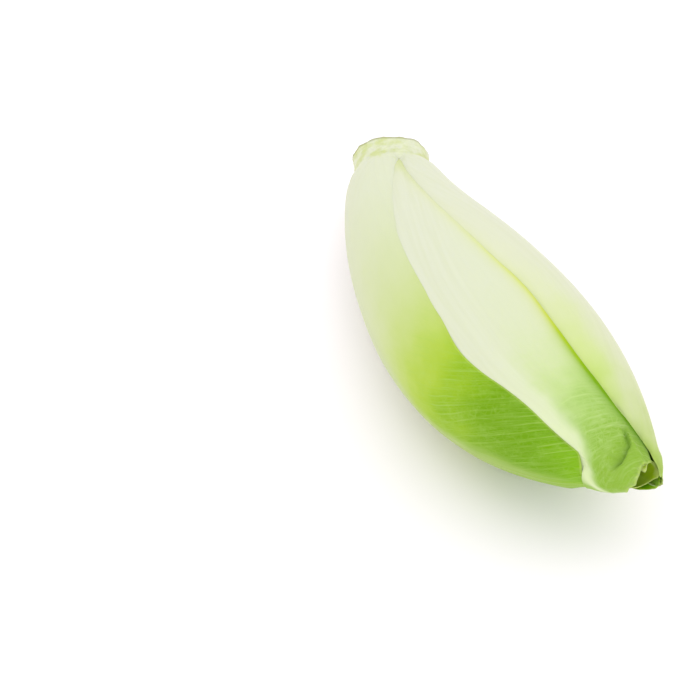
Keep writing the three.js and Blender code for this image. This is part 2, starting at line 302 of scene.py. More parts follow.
def cone_radius(run):
    """Radius of the cone inside the head, so many mm along it."""
    return CORE_RADIUS * max(0.0, 1 - (run - STUMP_LENGTH) / (CORE_LENGTH - STUMP_LENGTH)) ** CONE_CURVE


# The profile as (mm along, radius) pairs, from the middle of the cut outwards and on to the cone's point.
POINTS_ROUND = 180
CUT_RINGS = 16
CUT_HOLLOW = 0.35           # the middle of the cut has dried in by so much
CUT_EDGE = [(0.05, 0.35), (0.25, 0.1), (0.55, 0.0)]     # its rounded edge: mm from the cut, mm from the side
SHOULDER = [(6.6, 9.15), (7.6, 8.8), (8.7, 8.4), (10.0, 7.95), (11.5, 7.4)]     # from the stump to the cone
TRIM_REACH = 4.0            # the slant of the knife cuts dies out over so many mm

profile = [(STUMP_START + CUT_HOLLOW * (1 - radius / STUMP_RADIUS), radius)
           for radius in np.linspace(0.6, STUMP_RADIUS - 0.7, CUT_RINGS)]
profile += [(STUMP_START + x, STUMP_RADIUS - inset) for x, inset in CUT_EDGE]
profile += [(x, STUMP_RADIUS) for x in np.linspace(STUMP_START + 0.9, STUMP_LENGTH + 0.4, 17)]
profile += SHOULDER
profile += [(x, cone_radius(x)) for x in np.linspace(13.0, CORE_LENGTH - 3, 18)]
rings = len(profile)
core_faces = []
for i in range(0, (rings - 1) * POINTS_ROUND, POINTS_ROUND):
    for j in range(POINTS_ROUND):
        after = (j + 1) % POINTS_ROUND
        core_faces.append((i + j, i + after, i + POINTS_ROUND + after, i + POINTS_ROUND + j))
core_faces.append(tuple(range(POINTS_ROUND))[::-1])
core_faces.append(tuple((rings - 1) * POINTS_ROUND + j for j in range(POINTS_ROUND)))
around = np.tile(np.linspace(0, 2 * math.pi, POINTS_ROUND, endpoint=False), rings)
runs, radii = (np.repeat(numbers, POINTS_ROUND) for numbers in zip(*profile))
is_side = np.repeat([float(i > CUT_RINGS) for i in range(rings)], POINTS_ROUND)
# the knife went round in several cuts, so the trimmed end is not quite flat
trim = 0.35 * np.sin(3 * around + 0.6) + 0.25 * np.sin(5 * around + 2.0) + 0.15 * np.sin(11 * around)
trimmed = runs + trim * np.clip(1 - runs / TRIM_REACH, 0, 1) * radii / STUMP_RADIUS
core = blank("core_stem", core_faces, place=trimmed / HEAD_LENGTH, radius=radii, angle=around,
             from_cut=(runs - STUMP_START) * is_side, from_middle=radii)
shape(core, core_tree, Unevenness=0.28, Material=stem_tissue)
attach(core, "root")
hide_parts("core")


# ---- Outermost leaves ----
# Two spoon-shaped leaves that grow out of the stem side by side. Each swells to a thick white rib and thins
# to a soft blade. They meet on top of the stem, part over the second layer and nearly meet again below.
GIRTH = 39.1                # with RISE, how fast the head widens from its neck
NECK_START = 0.164          # the widening started so far before place 0
RISE = 0.795
CLOSE = 1.066               # the place where the tips would meet
FALL = 3.265                # a higher power closes the head later
ROUNDNESS = 1.193           # and a lower one blunts its tip
PINCH = 1.6                 # the neck is pinched in by so many mm
PINCH_PLACE = 0.027
PINCH_WIDTH = 0.034
BELLY_PLACE = 0.57          # the head is widest near here
LAYER_SPACING = 2.86        # mm from layer to layer up to the belly
LAYER_SHORTENING = 0.018    # share by which each layer closes earlier than the one over it
STEM_SKIN = 0.25            # the outermost leaves start as a skin of so many mm on the stump
SKIN_OVERLAP = 2.2          # and reach so many mm over it
LEAF_ROOM = 1.4             # mm beside the core that a younger leaf needs to grow out of it


def head_radius(place):
    """Outside radius of the closed head in mm."""
    place = np.asarray(place, float)
    closing = np.clip(1 - (place / CLOSE) ** FALL, 0, 1) ** ROUNDNESS
    pinch = PINCH * np.exp(-((place - PINCH_PLACE) / PINCH_WIDTH) ** 2)
    return GIRTH * (place + NECK_START) ** RISE * closing - pinch


BELLY_RADIUS = float(head_radius(BELLY_PLACE))

# The same radius for any layer: younger layers lie inside older ones and close a little earlier.
layer_tree, given, result = new_tree(
    "layer_radius", [("Place", "NodeSocketFloat"), ("Layer", "NodeSocketFloat")],
    ("Radius", "NodeSocketFloat"))
place = given.outputs["Place"]
depth = add(layer_tree, "ShaderNodeMath", (given.outputs["Layer"], 1.0), operation="SUBTRACT")
shorter = add(layer_tree, "ShaderNodeMath", (depth, -LAYER_SHORTENING, 1.0), operation="MULTIPLY_ADD")
before = add(layer_tree, "ShaderNodeMath", (place, BELLY_PLACE), operation="MINIMUM")
past = add(layer_tree, "ShaderNodeMath", (place, before), operation="SUBTRACT")
stretched = add(layer_tree, "ShaderNodeMath", (past, shorter), operation="DIVIDE")
own = add(layer_tree, "ShaderNodeMath", (before, stretched), operation="ADD")
started = add(layer_tree, "ShaderNodeMath", (own, NECK_START), operation="ADD")
risen = add(layer_tree, "ShaderNodeMath", (started, RISE), operation="POWER")
share = add(layer_tree, "ShaderNodeMath", (own, CLOSE), operation="DIVIDE")
fallen = add(layer_tree, "ShaderNodeMath", (share, FALL), operation="POWER")
open_part = add(layer_tree, "ShaderNodeMath", (1.0, fallen), operation="SUBTRACT", use_clamp=True)
closing = add(layer_tree, "ShaderNodeMath", (open_part, ROUNDNESS), operation="POWER")
product = add(layer_tree, "ShaderNodeMath", (risen, closing), operation="MULTIPLY")
from_pinch = add(layer_tree, "ShaderNodeMath", (own, 1 / PINCH_WIDTH, -PINCH_PLACE / PINCH_WIDTH),
                 operation="MULTIPLY_ADD")
squared = add(layer_tree, "ShaderNodeMath", (from_pinch, from_pinch), operation="MULTIPLY")
fading = add(layer_tree, "ShaderNodeMath", (squared, -1.0), operation="MULTIPLY")
pinch = add(layer_tree, "ShaderNodeMath", (fading,), operation="EXPONENT")
pinched = add(layer_tree, "ShaderNodeMath", (pinch, -PINCH), operation="MULTIPLY")
head = add(layer_tree, "ShaderNodeMath", (product, GIRTH, pinched), operation="MULTIPLY_ADD")
# the layers draw together as the head narrows past its belly
narrowed = add(layer_tree, "ShaderNodeMath", (head, BELLY_RADIUS), operation="DIVIDE")
is_past = add(layer_tree, "ShaderNodeMath", (place, BELLY_PLACE), operation="GREATER_THAN")
narrowing = add(layer_tree, "ShaderNodeMix", {0: is_past, 2: 1.0, 3: narrowed})
inward = add(layer_tree, "ShaderNodeMath", (depth, narrowing), operation="MULTIPLY")
layer = add(layer_tree, "ShaderNodeMath", (inward, -LAYER_SPACING, head), operation="MULTIPLY_ADD")
layer_tree.links.new(layer, result.inputs[0])

# Wraps a flat leaf blank round the head and gives it its thickness, ruffled edge and lengthwise ribbing.
leaf_tree, given, result = new_tree(
    "wrapped_leaf",
    [("Geometry", "NodeSocketGeometry"), ("Layer", "NodeSocketFloat"), ("Air gap", "NodeSocketFloat"),
     ("Rib at base", "NodeSocketFloat"), ("Rib at tip", "NodeSocketFloat"), ("Edge", "NodeSocketFloat"),
     ("Ruffle", "NodeSocketFloat"), ("Seed", "NodeSocketFloat"), ("Ribbing", "NodeSocketFloat"),
     ("Material", "NodeSocketMaterial")],
    ("Geometry", "NodeSocketGeometry"))
ask = given.outputs
place, angle, across, outer_face, rib_angle, lift, edge_mm = (
    add(leaf_tree, "GeometryNodeInputNamedAttribute", {"Name": label}, data_type="FLOAT")
    for label in ("place", "angle", "across", "outer_face", "rib_angle", "lift", "edge_mm"))

# The leaf's outer face lies at its layer's radius. Under it are the next layer and, lower down, the core.
outside = add(leaf_tree, "GeometryNodeGroup", {"Place": place, "Layer": ask["Layer"]}, node_tree=layer_tree)
next_layer = add(leaf_tree, "ShaderNodeMath", (ask["Layer"], 1.0), operation="ADD")
inside = add(leaf_tree, "GeometryNodeGroup", {"Place": place, "Layer": next_layer}, node_tree=layer_tree)
run = add(leaf_tree, "ShaderNodeMath", (place, HEAD_LENGTH), operation="MULTIPLY")
core_left = add(leaf_tree, "ShaderNodeMapRange", {
    "Value": run, "From Min": STUMP_LENGTH, "From Max": CORE_LENGTH, "To Min": 1.0, "To Max": 0.0})
core_taper = add(leaf_tree, "ShaderNodeMath", (core_left, CONE_CURVE), operation="POWER")
core_side = add(leaf_tree, "ShaderNodeMath", (core_taper, CORE_RADIUS), operation="MULTIPLY")
under = add(leaf_tree, "ShaderNodeMath", (inside, core_side), operation="MAXIMUM")
below = add(leaf_tree, "ShaderNodeMath", (under, ask["Air gap"]), operation="ADD")
rib_wanted = add(leaf_tree, "ShaderNodeMix", {0: place, 2: ask["Rib at base"], 3: ask["Rib at tip"]})
room_left = add(leaf_tree, "ShaderNodeMath", (outside, below), operation="SUBTRACT")
rib_full = add(leaf_tree, "ShaderNodeMath", (rib_wanted, room_left), operation="MINIMUM")
# a leaf leaves the side of the stem as a thin skin and swells to its full rib within a few mm
swelling = add(leaf_tree, "ShaderNodeMapRange", {"Value": run, "From Min": STUMP_LENGTH, "From Max": 11.0,
                                                 "To Min": 0.09, "To Max": 1.0})
rib = add(leaf_tree, "ShaderNodeMath", (rib_full, swelling), operation="MULTIPLY")
away = add(leaf_tree, "ShaderNodeMath", (across,), operation="ABSOLUTE")
droop_full = add(leaf_tree, "ShaderNodeMath", (away, 3.0), operation="POWER")
droop = add(leaf_tree, "ShaderNodeMath", (droop_full, swelling), operation="MULTIPLY")
thinning = add(leaf_tree, "ShaderNodeMath", (away, 4.0), operation="POWER")
rib_bed = add(leaf_tree, "ShaderNodeMath", (outside, rib), operation="SUBTRACT")
inner_radius = add(leaf_tree, "ShaderNodeMix", {0: droop, 2: rib_bed, 3: below})
# the blade thins to its edge value over the last 4 mm before its margin
near_end = add(leaf_tree, "ShaderNodeMapRange", {"Value": edge_mm, "From Max": 4.0, "To Min": 1.0,
                                                 "To Max": 0.0}, interpolation_type="SMOOTHSTEP")
thin_share = add(leaf_tree, "ShaderNodeMath", (near_end, thinning), operation="MAXIMUM")
edge = add(leaf_tree, "ShaderNodeMath", (ask["Edge"], rib), operation="MINIMUM")
thickness = add(leaf_tree, "ShaderNodeMix", {0: thin_share, 2: rib, 3: edge})
sheet = add(leaf_tree, "ShaderNodeMath", (outer_face, thickness, inner_radius), operation="MULTIPLY_ADD")

# The margin waves outward every 12 mm or so, more towards the tip, and shallow ridges run along the leaf.
seeded = add(leaf_tree, "ShaderNodeCombineXYZ", (run, across, ask["Seed"]))
waves = add(leaf_tree, "ShaderNodeTexNoise", {"Vector": seeded, "Scale": 0.085, "Detail": 2.0})
wave = add(leaf_tree, "ShaderNodeMapRange", {"Value": waves, "From Min": 0.4, "From Max": 0.7})
near_edge = add(leaf_tree, "ShaderNodeMapRange", {"Value": edge_mm, "From Max": 7.0, "To Min": 1.0,
                                                  "To Max": 0.0}, interpolation_type="SMOOTHSTEP")
blade = add(leaf_tree, "ShaderNodeMapRange", {"Value": place, "From Min": 0.15, "From Max": 0.7},
            interpolation_type="SMOOTHSTEP")
edge_wave = add(leaf_tree, "ShaderNodeMath", (wave, near_edge), operation="MULTIPLY")
blade_wave = add(leaf_tree, "ShaderNodeMath", (edge_wave, blade), operation="MULTIPLY")
ruffle = add(leaf_tree, "ShaderNodeMath", (blade_wave, ask["Ruffle"], sheet), operation="MULTIPLY_ADD")
ridge_space = add(leaf_tree, "ShaderNodeCombineXYZ", (place, angle, ask["Seed"]))
ridge_long = add(leaf_tree, "ShaderNodeVectorMath", (ridge_space, (1.2, 7.0, 1.0)), operation="MULTIPLY")
ridges = add(leaf_tree, "ShaderNodeTexNoise", {"Vector": ridge_long, "Scale": 1.0, "Detail": 1.0})
ridge = add(leaf_tree, "ShaderNodeMapRange", {"Value": ridges, "From Min": 0.3, "From Max": 0.7,
                                              "To Min": -1.0, "To Max": 0.0})
facing = add(leaf_tree, "ShaderNodeMath", (ridge, outer_face), operation="MULTIPLY")
ridged = add(leaf_tree, "ShaderNodeMath", (facing, swelling), operation="MULTIPLY")
ribbed = add(leaf_tree, "ShaderNodeMath", (ridged, ask["Ribbing"], ruffle), operation="MULTIPLY_ADD")
lifted = add(leaf_tree, "ShaderNodeMath", (ribbed, lift), operation="ADD")
final_radius = add(leaf_tree, "ShaderNodeMath", (lifted, 0.2), operation="MAXIMUM")

wrapped = add(leaf_tree, "GeometryNodeGroup", {"Place": place, "Angle": angle, "Radius": final_radius},
              node_tree=bend_tree)
# The head's weight presses the leaf it lies on flat against the table.
on_table = add(leaf_tree, "ShaderNodeVectorMath", (wrapped, (-1.0, -1.0, 0.0)), operation="MAXIMUM")
placed = add(leaf_tree, "GeometryNodeSetPosition", {"Geometry": ask["Geometry"], "Position": on_table})

# What the material reads: mm from the rib across the leaf, mm along it, and a number of its own.
turned = add(leaf_tree, "ShaderNodeMath", (angle, rib_angle), operation="SUBTRACT")
span = add(leaf_tree, "ShaderNodeMath", (turned, outside), operation="MULTIPLY")
leaf_space = add(leaf_tree, "ShaderNodeCombineXYZ", (span, run, ask["Seed"]))
noted = add(leaf_tree, "GeometryNodeStoreNamedAttribute", {"Geometry": placed, "Name": "leaf_mm",
                                                           "Value": leaf_space}, data_type="FLOAT_VECTOR")
rounded = add(leaf_tree, "GeometryNodeSetShadeSmooth", {"Geometry": noted})
fold_angle = add(leaf_tree, "GeometryNodeInputMeshEdgeAngle")
is_corner = add(leaf_tree, "FunctionNodeCompare", (fold_angle, 0.9), operation="GREATER_THAN")
crisp = add(leaf_tree, "GeometryNodeSetShadeSmooth", {"Geometry": rounded, "Selection": is_corner,
                                                      "Shade Smooth": False}, domain="EDGE")
whole = add(leaf_tree, "GeometryNodeRealizeInstances", {"Geometry": crisp})
painted = add(leaf_tree, "GeometryNodeSetMaterial", {"Geometry": whole, "Material": ask["Material"]})
leaf_tree.links.new(painted, result.inputs[0])


def smooth_line(points, at):
    """A smooth line through [place, value] pairs, read at many places."""
    x, y = np.array(points, float).T
    at = np.asarray(at, float)
    slope = np.gradient(y, x) if len(x) > 2 else np.full(2, (y[1] - y[0]) / (x[1] - x[0]))
    i = np.clip(np.searchsorted(x, at, side="right") - 1, 0, len(x) - 2)
    step = x[i + 1] - x[i]
    t = np.clip((at - x[i]) / step, 0, 1)
    return ((2 * t ** 3 - 3 * t ** 2 + 1) * y[i] + (t ** 3 - 2 * t ** 2 + t) * step * slope[i]
            + (3 * t ** 2 - 2 * t ** 3) * y[i + 1] + (t ** 3 - t ** 2) * step * slope[i + 1])


def ease(value, low, high):
    """0 below low, 1 above high and a smooth rise between."""
    t = np.clip((np.asarray(value, float) - low) / (high - low), 0, 1)
    return t * t * (3 - 2 * t)


def layer_radius(places, layer, least=1.0):
    """Roughly the radius of a layer in mm, with a least value at the tip."""
    return np.maximum(head_radius(places) - (layer - 1) * LAYER_SPACING, least)


def base_place(layer):
    """First place along the core where a layer has room to grow out of it."""
    if layer == 1:
        return (STUMP_LENGTH - SKIN_OVERLAP) / HEAD_LENGTH
    place = STUMP_LENGTH / HEAD_LENGTH
    while head_radius(place) - (layer - 1) * LAYER_SPACING - cone_radius(place * HEAD_LENGTH) <= LEAF_ROOM:
        place += 0.002
    return place


def leaf_blank(name, layer, first_edge, last_edge, end, rib=None, rows=120, columns=80, ragged=0.0, seed=0,
               lift=None, tucked=None):
    """A closed flat leaf: two sheets of rows by columns joined all round. Its edges and the path of its rib
    are [place, degrees] pairs, and its end is [degrees, place] pairs, torn by up to ragged mm. Lift gives the
    mm by which it stands off its layer, and the crease shade function how much painted shade of a crease it
    gets, from 0 to 1."""
    chance = np.random.default_rng(seed)
    start = base_place(layer)
    # the columns gather at the margins and the rows at the end, where the leaf bends most
    share = np.linspace(-1, 1, columns + 1)
    share = 0.75 * share + 0.25 * np.sin(share * math.pi / 2)
    steps = np.linspace(0, 1, rows)
    steps = 0.6 * steps + 0.4 * np.sin(steps * math.pi / 2)

    # the last row follows the leaf's end, torn a little where it is ragged, and the rows before it ease off
    reach = max(place for degrees, place in end)
    first_end, last_end = smooth_line(first_edge, reach), smooth_line(last_edge, reach)
    end_places = smooth_line(end, first_end + (last_end - first_end) * (share + 1) / 2)
    teeth = np.cumsum(chance.normal(size=columns + 1))
    teeth -= np.linspace(teeth[0], teeth[-1], columns + 1)
    end_places = end_places + ragged / HEAD_LENGTH * teeth / max(1e-6, np.abs(teeth).max())
    places = start + (reach - start) * steps[:, None] - (reach - end_places)[None, :] * steps[:, None] ** 9
    if layer == 1:
        # the outermost leaves start on the stump along an uneven line
        scallop = (0.6 * np.sin(share * 9 + 2.1 + seed) + 0.4 * np.sin(share * 23 + seed)) / HEAD_LENGTH
        places = places + scallop[None, :] * (1 - steps[:, None]) ** 12

    first = smooth_line(first_edge, places)
    last = smooth_line(last_edge, places)
    middles = (first + last) / 2
    across = np.tile(share, (rows, 1))
    angles = middles + (last - first) / 2 * across
    edge_mm = np.minimum((1 - np.abs(across)) * np.radians(last - first) / 2 * layer_radius(places, layer),
                         (end_places[None, :] - places) * HEAD_LENGTH)
    rib_angles = middles if rib is None else smooth_line(rib, places)
    lifts = np.zeros_like(places) if lift is None else lift(places, angles)
    if layer == 1:
        off_stump = np.maximum(STUMP_RADIUS + STEM_SKIN - head_radius(places), 0)
        lifts = lifts + off_stump * (1 - ease(places, 0.04, 0.06))
    shades = np.zeros_like(places) if tucked is None else tucked(places, angles)

    # corners a to b run along the leaf; the second sheet's corners follow the first's
    count = across.size
    wide = columns + 1
    faces = []
    for i in range(rows - 1):
        for j in range(columns):
            a, b = i * wide + j, (i + 1) * wide + j
            faces.append((a, a + 1, b + 1, b))
            faces.append((count + a, count + b, count + b + 1, count + a + 1))
        a, b = i * wide, (i + 1) * wide
        faces.append((a, b, count + b, count + a))
        a, b = a + columns, b + columns
        faces.append((a, count + a, count + b, b))
    top = (rows - 1) * wide
    for j in range(columns):
        faces.append((j, count + j, count + j + 1, j + 1))
        faces.append((top + j, top + j + 1, count + top + j + 1, count + top + j))
    twice = {label: np.tile(values.ravel(), 2) for label, values in (
        ("place", places), ("angle", np.radians(angles)), ("across", across), ("edge_mm", edge_mm),
        ("rib_angle", np.radians(rib_angles)), ("lift", lifts), ("tucked", shades))}
    return blank(name, faces, outer_face=np.repeat([1.0, 0.0], count), **twice)


def leaf_material(name, rib_stops, blade_stops, crease_shade_stops, rib_width, veins_from, veins_tint,
                  vein_strength, rim_share, vein_slope=2.0):
    """Living chicory leaf: moist, slightly translucent tissue under a thin waxy skin. The rib stays white
    and the blade turns green where light reached it, with pale veins that fork off the rib. Stops are
    (place, colour) pairs, and the crease stops are painted shade: darker greens for creases, folds and
    grooves.
    The rib's half width in mm is given for its base and its tip, and then the width over which it turns to
    blade. A side vein runs vein_slope mm along the leaf for each mm across it. The rim share is how much
    painted light brightens the thin rim."""
    made, surface = new_material(name)
    tree = made.node_tree
    where = add(tree, "ShaderNodeAttribute", attribute_name="leaf_mm", out=1)
    span = add(tree, "ShaderNodeSeparateXYZ", (where,))
    run = span.node.outputs[1]
    away = add(tree, "ShaderNodeMath", (span,), operation="ABSOLUTE")
    edge_mm = add(tree, "ShaderNodeAttribute", attribute_name="edge_mm", out=2)
    tucked = add(tree, "ShaderNodeAttribute", attribute_name="tucked", out=2)
    # the colours change along an uneven line
    drift = add(tree, "ShaderNodeTexNoise", {"Vector": where, "Scale": 0.07, "Detail": 3.0})
    drifting = add(tree, "ShaderNodeMapRange", {"Value": drift, "From Min": 0.3, "From Max": 0.7,
                                                "To Min": -1.0, "To Max": 1.0})
    place = add(tree, "ShaderNodeMath", (run, 1 / HEAD_LENGTH), operation="MULTIPLY")
    uneven_place = add(tree, "ShaderNodeMath", (drifting, 0.03, place), operation="MULTIPLY_ADD")
    ramps = []
    for stops in (rib_stops, blade_stops, crease_shade_stops):
        colour = add(tree, "ShaderNodeValToRGB", (uneven_place,))
        ramp = colour.node.color_ramp
        ramp.interpolation = "B_SPLINE"
        for at, tint in stops[1:-1]:
            ramp.elements.new(at)
        for element, (at, tint) in zip(ramp.elements, stops):
            element.position = at
            element.color = linear(tint)
        ramps.append(colour)
    rib_colour, blade_colour, crease_shade_colour = ramps

    # the rib is widest at the leaf's base, narrows to a string and dies out just before the end
    rib_now = add(tree, "ShaderNodeMapRange", {"Value": place, "From Min": 0.1, "From Max": 0.95,
                                               "To Min": rib_width[0], "To Max": rib_width[1]})
    rib_end = add(tree, "ShaderNodeMapRange", {"Value": place, "From Min": 0.95, "From Max": 0.985,
                                               "To Min": 0.0, "To Max": rib_width[1]})
    rib_here = add(tree, "ShaderNodeMath", (rib_now, rib_end), operation="SUBTRACT")
    beyond = add(tree, "ShaderNodeMath", (away, rib_here), operation="SUBTRACT")
    beyond_drift = add(tree, "ShaderNodeMath", (drifting, 1.5, beyond), operation="MULTIPLY_ADD")
    soft = add(tree, "ShaderNodeMapRange", {"Value": place, "From Min": 0.5, "From Max": 1.0, "To Min": 9.0,
                                            "To Max": rib_width[2]})
    blade_share = add(tree, "ShaderNodeMath", (beyond_drift, soft), operation="DIVIDE")
    blade = add(tree, "ShaderNodeMapRange", {"Value": blade_share, "From Min": -0.3, "From Max": 1.0},
                interpolation_type="SMOOTHSTEP")
    green = add(tree, "ShaderNodeMapRange", {"Value": place, "From Min": veins_from - 0.12,
                                             "From Max": veins_from + 0.12}, interpolation_type="SMOOTHSTEP")
    veined_area = add(tree, "ShaderNodeMath", (blade, green), operation="MULTIPLY")

    # side veins fork off the rib 2.4 mm apart, wander a little and come and go
    spread = math.hypot(1, vein_slope)
    slanted = add(tree, "ShaderNodeMath", (away, -vein_slope, run), operation="MULTIPLY_ADD")
    wander = add(tree, "ShaderNodeTexNoise", {"Vector": where, "Scale": 0.09, "Detail": 1.0})
    wandering = add(tree, "ShaderNodeMath", (wander, 2.5 * spread, slanted), operation="MULTIPLY_ADD")
    repeated = add(tree, "ShaderNodeMath", (wandering, 1.2 * spread), operation="PINGPONG")
    vein_line = add(tree, "ShaderNodeMapRange", {"Value": repeated, "From Max": 0.42 * spread, "To Min": 0.85,
                                                 "To Max": 0.0}, interpolation_type="SMOOTHSTEP")
    coming = add(tree, "ShaderNodeTexNoise", {"Vector": where, "Scale": 0.14, "Detail": 2.0})
    comes = add(tree, "ShaderNodeMapRange", {"Value": coming, "From Min": 0.4, "From Max": 0.62,
                                             "To Min": 0.15})
    side_vein = add(tree, "ShaderNodeMath", (vein_line, comes), operation="MULTIPLY")
    # fine veins feather out beside them, about 0.5 mm apart
    feather_space = add(tree, "ShaderNodeCombineXYZ", (slanted, away))
    feather_long = add(tree, "ShaderNodeVectorMath", (feather_space, (1.9 / spread, 0.17, 1.0)),
                       operation="MULTIPLY")
    feathers = add(tree, "ShaderNodeTexNoise", {"Vector": feather_long, "Scale": 1.0, "Detail": 4.0,
                                                "Roughness": 0.65})
    feather = add(tree, "ShaderNodeMapRange", {"Value": feathers, "From Min": 0.45, "From Max": 0.72,
                                               "To Max": 0.7})
    # and a net of the finest ones joins them; its cells are drawn 1.6 mm wide, so that they show
    cells = add(tree, "ShaderNodeTexVoronoi", {"Vector": where, "Scale": 0.62}, feature="DISTANCE_TO_EDGE")
    net = add(tree, "ShaderNodeMapRange", {"Value": cells, "From Max": 0.13, "To Min": 0.28, "To Max": 0.0})
    fine_veins = add(tree, "ShaderNodeMath", (feather, net), operation="MAXIMUM")
    veins = add(tree, "ShaderNodeMath", (side_vein, fine_veins), operation="MAXIMUM")
    veins_end = add(tree, "ShaderNodeMapRange", {"Value": place, "From Min": 0.95, "From Max": 0.98,
                                                 "To Min": 1.0, "To Max": 0.35})
    veins_fading = add(tree, "ShaderNodeMath", (veins, veins_end), operation="MULTIPLY")
    veins_here = add(tree, "ShaderNodeMath", (veins_fading, veined_area), operation="MULTIPLY")
    vein_mix = add(tree, "ShaderNodeMath", (veins_here, vein_strength), operation="MULTIPLY")

    # faint streaks of sap vessels run along the white rib
    streak_space = add(tree, "ShaderNodeVectorMath", (where, (0.7, 0.02, 1.0)), operation="MULTIPLY")
    streaks = add(tree, "ShaderNodeTexNoise", {"Vector": streak_space, "Scale": 1.0, "Detail": 3.0})
    streak = add(tree, "ShaderNodeMapRange", {"Value": streaks, "From Min": 0.4, "From Max": 0.75,
                                              "To Max": 0.3})
    streaked = add(tree, "ShaderNodeMix", {0: streak, 6: rib_colour, 7: linear("#C6CCA2")}, out=2,
                   data_type="RGBA")
    plain = add(tree, "ShaderNodeMix", {0: blade, 6: streaked, 7: blade_colour}, out=2, data_type="RGBA")
    # a waxy bloom lies on the green in small pale patches
    bloom_noise = add(tree, "ShaderNodeTexNoise", {"Vector": where, "Scale": 0.5, "Detail": 5.0,
                                                   "Roughness": 0.7})
    bloom = add(tree, "ShaderNodeMapRange", {"Value": bloom_noise, "From Min": 0.52, "From Max": 0.8,
                                             "To Max": 0.45})
    bloom_here = add(tree, "ShaderNodeMath", (bloom, veined_area), operation="MULTIPLY")
    bloomed = add(tree, "ShaderNodeMix", {0: bloom_here, 6: plain, 7: linear(veins_tint)}, out=2,
                  data_type="RGBA")
    veined = add(tree, "ShaderNodeMix", {0: vein_mix, 6: bloomed, 7: linear(veins_tint)}, out=2,
                 data_type="RGBA")
    # painted shade: where the crease shade attribute is high, the colour turns to the darker crease ramp,
    # standing in for the shade in creases, folds and grooves between leaves
    crease_shaded = add(tree, "ShaderNodeMix", {0: tucked, 6: veined, 7: crease_shade_colour}, out=2, data_type="RGBA")
    # at its base the leaf still has the stem's mottled skin, up to an uneven line
    spot = add(tree, "ShaderNodeTexCoord", out=3)
    base_colour = mottled_skin(tree, spot)[1]
    base_spots = add(tree, "ShaderNodeTexNoise", {"Vector": spot, "Scale": 420.0, "Detail": 3.0})
    base_run = add(tree, "ShaderNodeMath", (base_spots, 12.0, run), operation="MULTIPLY_ADD")
    base_share = add(tree, "ShaderNodeMapRange", {
        "Value": base_run, "From Min": STUMP_LENGTH + 5.5, "From Max": STUMP_LENGTH + 9.5, "To Min": 1.0,
        "To Max": 0.0}, interpolation_type="SMOOTHSTEP")
    based = add(tree, "ShaderNodeMix", {0: base_share, 6: crease_shaded, 7: base_colour}, out=2, data_type="RGBA")
    # painted light: the thin rim is painted brighter and yellower, for the light that shines through it
    rim = add(tree, "ShaderNodeMapRange", {"Value": edge_mm, "From Min": 0.2, "From Max": 0.6,
                                           "To Min": rim_share, "To Max": 0.0},
              interpolation_type="SMOOTHSTEP")
    rim_here = add(tree, "ShaderNodeMath", (rim, green), operation="MULTIPLY")
    colour = add(tree, "ShaderNodeMix", {0: rim_here, 6: based, 7: linear("#CADE78")}, out=2,
                 data_type="RGBA")

    # the veins and streaks stand up a little, and water in the tissue gives it a leaf's low gloss
    relief = add(tree, "ShaderNodeMath", (veins_here, 0.6, streak), operation="MULTIPLY_ADD")
    bump = add(tree, "ShaderNodeBump", {"Height": relief, "Strength": 0.3, "Distance": 0.0003})
    shine = add(tree, "ShaderNodeBsdfPrincipled", {
        "Base Color": colour, "Roughness": 0.5, "Normal": bump, "IOR": 1.4, "Specular IOR Level": 0.13,
        "Subsurface Weight": 0.3, "Subsurface Radius": (1.0, 1.0, 0.6), "Subsurface Scale": 0.0006})
    tree.links.new(shine, surface.inputs["Surface"])
    return made


def make_leaf(node, slot, material, layer, ruffle=0.0, seed=0, gap=-0.25, edge=0.12, **outline):
    """One leaf from its blank to its place in the frame. Gap is the mm of air under its margins, which sink
    into the leaf below where it is negative, and edge is the mm that its margins are thick."""
    piece = leaf_blank(node + "_skin", layer, seed=seed, **outline)
    shape(piece, leaf_tree, **{
        "Layer": float(layer), "Air gap": gap, "Rib at base": 3.0, "Rib at tip": 0.6, "Edge": edge,
        "Ruffle": ruffle, "Seed": float(seed) * 7.0, "Ribbing": 0.16, "Material": material})
    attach(piece, "root")
    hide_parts(node)


def mm_past(line, places, degrees, layer):
    """How far, in mm round a layer, points lie past an edge that lies on it."""
    return np.radians(degrees - smooth_line(line, places)) * layer_radius(places, layer, least=2.0)


# Grown in the light, the left leaf is green over its whole blade.
green_leaf = leaf_material(
    "green_outer_chicory_leaf",
    rib_stops=[(0.0, "#CED3B4"), (0.06, "#D3D6C1"), (0.4, "#CCD3AE"), (0.7, "#A5BE60"), (0.9, "#84AC2C"),
               (1.0, "#8CC008")],
    blade_stops=[(0.0, "#CED3B4"), (0.08, "#D2D6BE"), (0.3, "#CDD3B2"), (0.46, "#C6D09C"),
                 (0.58, "#BCCC7C"), (0.66, "#AEC640"), (0.72, "#90B618"), (0.79, "#6C9A00"),
                 (0.88, "#689800"), (1.0, "#84BC00")],
    # painted shade for creases and grooves
    crease_shade_stops=[(0.0, "#C6CE9C"), (0.5, "#86A81C"), (1.0, "#5F8608")],
    rib_width=(14.0, 2.0, 2.5), veins_from=0.62, veins_tint="#A2C45C", vein_strength=0.62, rim_share=0.3)
